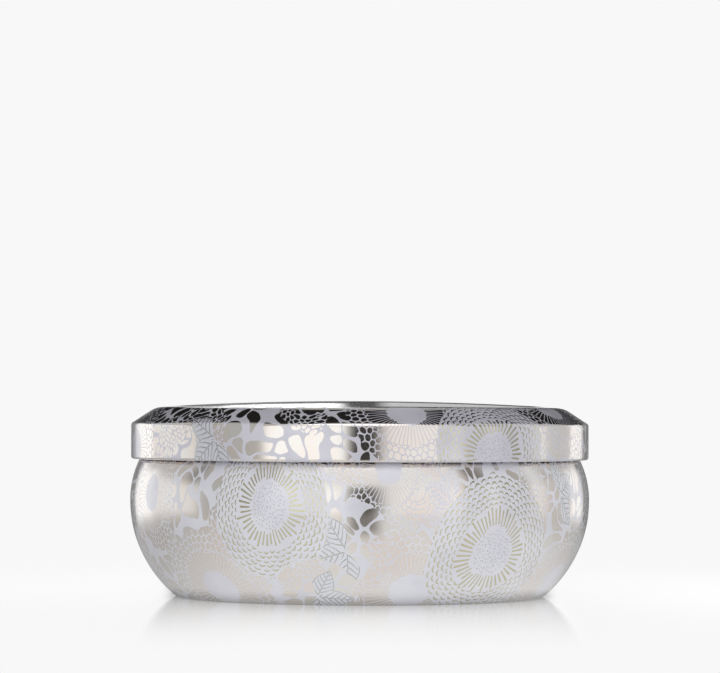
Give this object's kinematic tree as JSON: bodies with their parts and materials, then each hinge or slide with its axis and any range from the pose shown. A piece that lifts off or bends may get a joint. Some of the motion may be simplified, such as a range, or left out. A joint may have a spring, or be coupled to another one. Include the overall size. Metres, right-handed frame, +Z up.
{
  "type": "candle tin",
  "caption": "Round bulged metal tin with a lift-off domed lid, holding a poured wax candle with upright wicks.",
  "frame": {"origin": "centre of the circle that the foot ring rests on", "axes": "+Z up along the tin's axis of revolution; the first wick stands on +Y"},
  "size_m": [0.1394, 0.1394, 0.059],
  "materials": {
    "printed_body_tin": "satin",
    "printed_lid_tin": "satin",
    "wax": "satin",
    "wick_cotton": "matte",
    "wick_core_paper": "matte",
    "sustainer_steel": "satin",
    "adhesive_foam": "matte",
    "label_paper": "matte"
  },
  "bodies": {
    "tin": {"tin_body": "printed_body_tin", "wax_fill": "wax", "wick_1": "wick_cotton", "wick_2": "wick_cotton", "wick_3": "wick_cotton", "wick_core_1": "wick_core_paper", "wick_core_2": "wick_core_paper", "wick_core_3": "wick_core_paper", "wick_sustainer_1": "sustainer_steel", "wick_sustainer_2": "sustainer_steel", "wick_sustainer_3": "sustainer_steel", "sustainer_adhesive_1": "adhesive_foam", "sustainer_adhesive_2": "adhesive_foam", "sustainer_adhesive_3": "adhesive_foam", "base_label": "label_paper"},
    "lid": {"tin_lid": "printed_lid_tin"}
  },
  "joints": [
    {"name": "lid_lift", "type": "slide", "parent": "tin", "child": "lid", "axis": [0, 0, 1], "range_m": [0, 0.06]}
  ]
}
